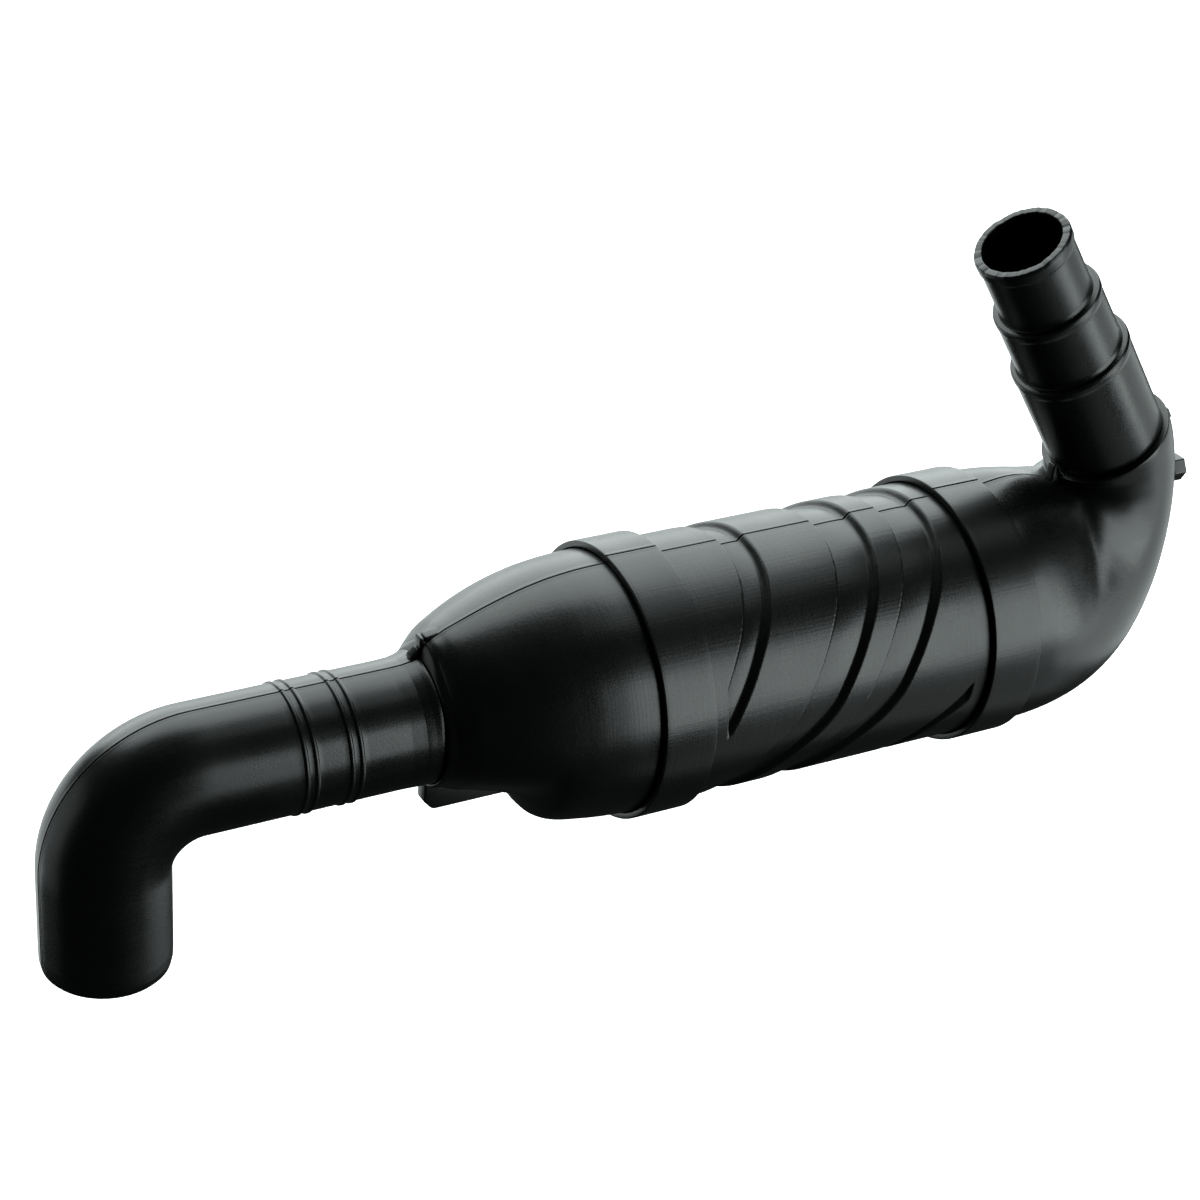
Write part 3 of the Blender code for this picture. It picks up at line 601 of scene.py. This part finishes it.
for l, r in fillet(((-COLLAR + 0.1, LIP_R), (0.0, LIP_R), (0.0, 23.3), (-8.6, 23.3), (-8.6, 24.5),
                    (-11.2, 24.5), (-11.2, 23.3), (-14.2, 23.3)), 0.55, 5,
                   radii={2: 0.4, 3: 0.1, 4: 0.2, 5: 0.2, 6: 0.1}):
    rings.append(LIP + N * l - E * (r * np.cos(ang))[:, None] + Y * (r * np.sin(ang))[:, None])
for t in (0.64, 0.60, 0.56, 0.52, 0.48, 0.44, 0.40, 0.35, 0.30, 0.25, 0.20, 0.15, 0.10, 0.05, 0.0):
    ins, out = elbow_pts(t)
    w = np.linalg.norm(out - ins) / 2 * (1 + NARROW * math.sin(math.pi * t)) - 3.0
    ahead = elbow_pts(t + 0.01)[1] - elbow_pts(max(0.0, t - 0.01))[1]
    nn = np.array([-ahead[2], 0, ahead[0]])
    out = out + nn / np.linalg.norm(nn) * 3.0
    low = elbow_pts(CREASE)[0] + np.array([3.0, 0, -5.5])
    top = IN0 - Z * 3.0
    u = t / CREASE
    ins = top + (low - top) * u + Z * (CROWN * math.sin(math.pi * u))
    rings.append(oval(ins, out, w, EGG * math.sin(math.pi * t)))
rings.append(ring_x(366.0, 43.6, ang))
elbow = place("inlet_elbow_skin", skin("inlet_elbow_skin", rings, sharp=50), "inlet_elbow", mats=[M_ELBOW])


def block(name, lo, hi, bevel, center, ex, ey, ez, segments=4, move=None, cuts=0):
    """A rounded block in a local frame."""
    bm = bmesh.new()
    bmesh.ops.create_cube(bm, size=1.0)
    lo, hi = np.array(lo, float), np.array(hi, float)
    for v in bm.verts:
        p = (lo + hi) / 2 + np.array(v.co) * (hi - lo)
        if move is not None:
            p = move(p)
        v.co = Vector(p)
    bmesh.ops.bevel(bm, geom=bm.edges[:], offset=bevel, segments=segments, profile=0.5, affect='EDGES')
    if cuts:
        bmesh.ops.subdivide_edges(bm, edges=bm.edges[:], cuts=cuts, use_grid_fill=True)
    for v in bm.verts:
        v.co = Vector((center + ex * v.co.x + ey * v.co.y + ez * v.co.z) * MM)
    bmesh.ops.recalc_face_normals(bm, faces=bm.faces[:])
    mesh = bpy.data.meshes.new(name)
    bm.to_mesh(mesh)
    bm.free()
    mesh.shade_smooth()
    mesh.set_sharp_from_angle(angle=math.radians(60))
    return mesh


def front_wedge(p):
    if p[2] > 0 and p[0] < -30:
        p = np.array([-26.8, p[1], p[2]])
    return p


place("elbow_front_lug", block("elbow_front_lug", (-36.0, -2.4, -9.0), (-25.3, 2.4, 5.0), 0.7,
                               LIP, E, Y, N, move=front_wedge), "inlet_elbow", mats=[M_SMALL], replaces=False)
place("elbow_rear_lug", block("elbow_rear_lug", (24.5, -2.2, -14.6), (29.6, 2.2, -9.6), 0.7,
                              LIP, E, Y, N), "inlet_elbow", mats=[M_SMALL], replaces=False)

# boss of the vent plug
prof = fillet(((3.75, -3.0), (3.75, 2.4), (6.6, 2.4), (7.4, -3.0)), 0.5, 4, radii={0: 0.0, 3: 0.0})
place("plug_boss_skin", spun("plug_boss_skin", prof, PLUG, X, 64), "inlet_elbow", mats=[M_SMALL], replaces=False)

# ------------------------------------------------------------------ hose tail
L_END = 109.6
p = [(16.5, L_END), (19.4, L_END), (20.0, L_END - 1.4), (19.9, 104.6), (19.25, 103.4), (19.3, 81.0),
     (19.6, 79.2), (21.9, 79.0), (22.35, 77.9), (22.3, 76.0), (21.95, 74.6), (22.1, 51.2), (22.5, 49.4),
     (24.4, 49.2), (24.95, 48.0), (24.9, 46.0), (24.5, 44.6), (24.4, 0.3), (23.0, 0.3), (23.0, -3.4),
     (20.9, -3.4), (20.9, -6.2), (23.0, -6.2), (23.0, -8.7), (21.2, -8.7), (21.2, -11.1), (23.0, -11.1),
     (23.0, -13.2), (22.4, -13.8), (19.2, -13.8), (19.2, 70.0), (16.5, 80.0)]
prof = refine(fillet(p, 0.5, 4, closed=True), 2.0, closed=True)


def trimmed(r, h, a):
    """The mouth was trimmed with a knife, so its edge isn't quite flat."""
    k = math.exp(-((h - L_END) / 1.6) ** 2)
    wave = (0.30 * np.sin(3 * a + 0.6) + 0.16 * np.sin(7 * a + 2.1) + 0.13 * np.sin(17 * a + 0.3)
            + 0.10 * np.sin(29 * a + 1.1) + 0.06 * np.sin(53 * a))
    return -0.05 * k * np.abs(wave), -0.9 * k * np.abs(wave) * 0.9


place("hose_tail_skin", spun("hose_tail_skin", prof, LIP, N, 200, wobble=trimmed, sharp=50),
      "hose_tail", mats=[M_TAIL])

# ------------------------------------------------------------------ small outside pieces
TAB_Y = (0.3, 5.1)


def tab_shape(p):
    return np.array([p[0], p[1], p[2] - (3.2 if p[2] > 104.0 and p[0] < 123.0 else 0.0)])


def catch_shape(p):
    return np.array([p[0], p[1], p[2] + (1.2 if p[2] > 105.0 and p[0] > 130.0 else 0.0)])


place("neck_clip_skin", block("neck_clip_skin", (121.6, TAB_Y[0], PIPE_Z + 25.4), (124.95, TAB_Y[1], 107.0), 0.9,
                              np.zeros(3), X, Y, Z, segments=5, move=tab_shape), "neck_clip", mats=[M_SMALL])
for name, x0, x1 in (("nose_catch_front", 125.3, 127.0), ("nose_catch_rear", 127.5, 134.6)):
    place(name, block(name, (x0, TAB_Y[0], 101.0), (x1, TAB_Y[1], 111.3), 0.6, np.zeros(3), X, Y, Z,
                      segments=4, move=catch_shape), "nose_shell", mats=[M_NOSE], replaces=False)
b = [np.array(v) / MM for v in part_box("mounting_foot")]
FOOT_Z = b[0][2]
side = fillet(((162.5, 55.0), (162.5, FOOT_Z), (131.4, FOOT_Z), (127.7, FOOT_Z + 4.2), (127.7, 47.6), (140.0, 55.0)),
              2.6, 8, closed=True, radii={0: 0.5, 1: 0.5, 4: 0.8, 5: 0.5})
grow = ((b[0][1], 0.9), (b[0][1] + 0.12, 0.5), (b[0][1] + 0.4, 0.18), (b[0][1] + 0.9, 0.0),
        (b[1][1] - 0.9, 0.0), (b[1][1] - 0.4, 0.18), (b[1][1] - 0.12, 0.5), (b[1][1], 0.9))
mid = side.mean(0)
rings = []
for y, inset in grow:
    d = mid - side
    d = d / np.linalg.norm(d, axis=1)[:, None]
    q = side + d * inset
    rings.append(np.stack([q[:, 0], np.full(len(q), y), q[:, 1]], -1))
m = len(side)
verts = np.array(rings).reshape(-1, 3)
faces = [(i * m + k, i * m + (k + 1) % m, (i + 1) * m + (k + 1) % m, (i + 1) * m + k)
         for i in range(len(rings) - 1) for k in range(m)]
faces += [tuple(reversed(range(m))), tuple((len(rings) - 1) * m + k for k in range(m))]
place("mounting_foot_skin", finish_mesh("mounting_foot_skin", verts, faces, sharp=60), "mounting_foot",
      mats=[M_SMALL])

# vent plug: hexagon head with chamfered corners and a plain flange face
bm = bmesh.new()
bmesh.ops.create_cone(bm, cap_ends=True, segments=6, radius1=5.8, radius2=5.8, depth=6.6)
bmesh.ops.bevel(bm, geom=bm.edges[:], offset=0.55, segments=4, profile=0.6, affect='EDGES')
for v in bm.verts:
    x, y, z = v.co
    v.co = Vector((PLUG + X * (z + 3.3 + 4.5) + Y * y - Z * x) * MM)
bmesh.ops.recalc_face_normals(bm, faces=bm.faces[:])
mesh = bpy.data.meshes.new("vent_plug_head")
bm.to_mesh(mesh)
bm.free()
mesh.shade_smooth()
mesh.set_sharp_from_angle(angle=math.radians(50))
place("vent_plug_head", mesh, "vent_plug", mats=[M_SMALL])
prof = [(0.02, 5.4), (0.02, -6.4), (2.6, -6.4), (3.3, -5.6)]
for k in range(7):
    h = -5.2 + 1.3 * k
    prof += [(3.3, h), (2.95, h + 0.45), (3.3, h + 0.9)]
prof += [(3.3, 5.4)]
place("vent_plug_shank", spun("vent_plug_shank", prof, PLUG, X, 48), "vent_plug", mats=[M_SMALL], replaces=False)
prof = fillet(((3.7, 2.8), (5.9, 2.8), (5.9, 4.0), (3.7, 4.0)), 0.3, 4, closed=True)
place("vent_plug_washer_skin", spun("vent_plug_washer_skin", prof, PLUG, X, 64), "vent_plug_washer",
      mats=[M_RUBBER])


# ------------------------------------------------------------------ inside pieces
def o_ring(node, major, minor, center, axis):
    prof = [(major + minor * math.cos(t), minor * math.sin(t))
            for t in np.linspace(0, 2 * math.pi, 20, endpoint=False)]
    place(node + "_skin", spun(node + "_skin", prof, center, axis, 128), node,
          mats=[M_RUBBER])


o_ring("outlet_seal_ring", 23.7, 1.2, np.array([132.5, 0, PIPE_Z]), X)
o_ring("front_seal_ring", 47.45, 1.2, np.array([216.7, 0, CHAMBER_Z]), X)
o_ring("rear_seal_ring", 47.45, 1.2, np.array([359.0, 0, CHAMBER_Z]), X)
o_ring("tail_seal_ring", 22.0, 1.0, LIP - N * 4.8, N)


def arc_ring(node, r0, r1, h0, h1, center, axis, half_gap, mat):
    """A flat split ring, open at the bottom, with softened edges."""
    axis = np.asarray(axis, float)
    side = np.cross(axis, Y)
    side = -side if side @ (Z - 0.5 * X) < 0 else side
    prof = fillet(((r0, h0), (r1, h0), (r1, h1), (r0, h1)), 0.25, 3, closed=True)
    gap = math.asin(half_gap / r1)
    a = np.linspace(-math.pi + gap, math.pi - gap, 140)
    m = len(prof)
    verts, faces = [], []
    for t in a:
        for r, h in prof:
            verts.append(center + side * (r * math.cos(t)) + Y * (r * math.sin(t)) + axis * h)
    for i in range(len(a) - 1):
        for k in range(m):
            faces.append((i * m + k, i * m + (k + 1) % m, (i + 1) * m + (k + 1) % m, (i + 1) * m + k))
    faces.append(tuple(range(m)))
    faces.append(tuple((len(a) - 1) * m + k for k in reversed(range(m))))
    place(node + "_skin", finish_mesh(node + "_skin", verts, faces), node, mats=[mat])


arc_ring("outlet_snap_ring", 23.1, 26.1, -0.9, 0.9, np.array([142.2, 0, PIPE_Z]), X, 3.0, M_STEEL)
arc_ring("elbow_snap_ring", 46.9, 50.3, -0.8, 0.8, np.array([352.8, 0, CHAMBER_Z]), X, 3.0, M_STEEL)
arc_ring("tail_snap_ring", 21.5, 24.2, -0.85, 0.85, LIP - N * 9.9, N, 3.0, M_STEEL)
arc_ring("baffle_lock_ring", 42.4, 46.4, 1.9, 3.6, np.array([300.0, 0, CHAMBER_Z]), X, 24.0, M_SMALL)

# dip baffle: a ribbed plate cut off straight at the bottom
m = 160
R_B, CUT = 46.4, 36.0
loop = []
a0 = math.acos(CUT / R_B)
for t in np.linspace(-math.pi + a0, math.pi - a0, m):
    loop.append((R_B * math.sin(t), R_B * math.cos(t)))
verts, faces = [], []
layers = ((-1.5, 0.35), (-1.2, 0.0), (1.2, 0.0), (1.5, 0.35), (1.5, 3.2), (0.9, 3.8), (0.9, 20.0))
for x, inset in layers:
    for y, z in loop:
        k = max(0.0, 1 - inset / R_B)
        verts.append((300.0 + x, y * k, CHAMBER_Z + (z + 4.0) * k - 4.0))
for i in range(len(layers) - 1):
    for k in range(m):
        faces.append((i * m + k, i * m + (k + 1) % m, (i + 1) * m + (k + 1) % m, (i + 1) * m + k))
faces.append(tuple(reversed(range(m))))
faces.append(tuple((len(layers) - 1) * m + k for k in range(m)))
place("dip_baffle_skin", finish_mesh("dip_baffle_skin", verts, faces), "dip_baffle", mats=[M_SMALL])

# ------------------------------------------------------------------ stage
FLOOR_Z = -0.30
bpy.ops.mesh.primitive_plane_add(size=14.0, location=(0.2, 0.0, FLOOR_Z))
floor = bpy.context.object
floor.name = "floor"
mat = bpy.data.materials.new("pale_floor")
nt, bsdf = node_set(mat)
tc = nt.nodes.new("ShaderNodeTexCoord").outputs["Object"]
tone = noise(nt, tc, 1.2, 3.0, 0.5)
nt.links.new(mix_color(nt, remap(nt, tone, 0.35, 0.65), (0.86, 0.86, 0.86, 1), (0.89, 0.89, 0.89, 1)),
             bsdf.inputs["Base Color"])
bsdf.inputs["Roughness"].default_value = 0.95
bsdf.inputs["Emission Color"].default_value = (1, 1, 1, 1)
bsdf.inputs["Emission Strength"].default_value = 1.0
floor.data.materials.append(mat)
floor.visible_glossy = False
floor.visible_diffuse = False
floor.visible_shadow = False

# a pale dome far outside the lamps, so the level and low views have the same ground as the main one
bpy.ops.mesh.primitive_uv_sphere_add(segments=48, ring_count=24, radius=22.0, location=(0.2, 0.0, 0.0))
backdrop = bpy.context.object
backdrop.name = "backdrop"
backdrop.data.materials.append(mat)
backdrop.visible_glossy = False
backdrop.visible_diffuse = False
backdrop.visible_shadow = False

CENTER = Vector((0.24, 0.0, 0.10))


def softbox(name, az, el, half_az, half_el, radiance, color=(0.91, 1.0, 0.99), distance=4.0, center=None):
    """A large soft panel that fills the given angles as seen from the trap."""
    center = CENTER if center is None else Vector(center)
    az, el = math.radians(az), math.radians(el)
    d = Vector((math.cos(az) * math.cos(el), math.sin(az) * math.cos(el), math.sin(el)))
    width = 2.0 * distance * math.tan(math.radians(half_az))
    height = 2.0 * distance * math.tan(math.radians(half_el))
    light = bpy.data.lights.new(name, 'AREA')
    light.shape = 'RECTANGLE'
    light.size, light.size_y = width, height
    light.energy = radiance * math.pi * width * height
    light.color = color
    ob = bpy.data.objects.new(name, light)
    ob.location = center + d * distance
    side = Vector((-math.sin(az), math.cos(az), 0.0))
    ob.matrix_world = Matrix((side, d.cross(side), d)).transposed().to_4x4()
    ob.location = center + d * distance
    ob.visible_camera = False
    bpy.context.scene.collection.objects.link(ob)
    return ob


softbox("sky_panel", 68, 36, 38, 36, 3.2)
softbox("sky_edge_panel", -6, 64, 12, 10, 0.9)
softbox("sky_right_card", 42, 45, 14, 14, 0.7, distance=0.9, center=(0.42, 0.0, 0.12))
softbox("back_wall", 85, -20, 42, 20, 1.2)
softbox("front_right_panel", -50, 4, 22, 23, 3.7)
softbox("right_low_panel", -3, -21, 29, 17, 1.1)
softbox("right_low_card", -48, -45, 26, 20, 0.32, distance=0.5, center=(0.42, -0.03, 0.08))
softbox("left_back_panel", 152, 6, 18, 16, 0.6)
softbox("left_back_sill", 150, -20, 18, 12, 0.4)

world = bpy.data.worlds.new("studio")
bpy.context.scene.world = world
world.use_nodes = True
world.node_tree.nodes["Background"].inputs[0].default_value = (0.9, 1.0, 1.0, 1)
world.node_tree.nodes["Background"].inputs[1].default_value = 0.02

# ------------------------------------------------------------------ camera
AZ, EL, ROLL = 0.525, 0.518, 0.07
DIST = 1.1409
TARGET = Vector((0.2011, 0.0, CHAMBER_Z * MM + 0.03633))
back = Vector((-math.sin(AZ) * math.cos(EL), -math.cos(AZ) * math.cos(EL), math.sin(EL)))
right = Vector((math.cos(AZ), -math.sin(AZ), 0.0))
up = back.cross(right)
r2 = right * math.cos(ROLL) + up * math.sin(ROLL)
u2 = up * math.cos(ROLL) - right * math.sin(ROLL)
cam = bpy.data.cameras.new("camera")
cam.sensor_width = 36.0
cam.lens = 89.312
cam_ob = bpy.data.objects.new("camera", cam)
bpy.context.scene.collection.objects.link(cam_ob)
m4 = Matrix((r2, u2, back)).transposed().to_4x4()
m4.translation = TARGET + back * DIST
cam_ob.matrix_world = m4
bpy.context.scene.camera = cam_ob
bpy.context.scene.view_settings.view_transform = 'Standard'
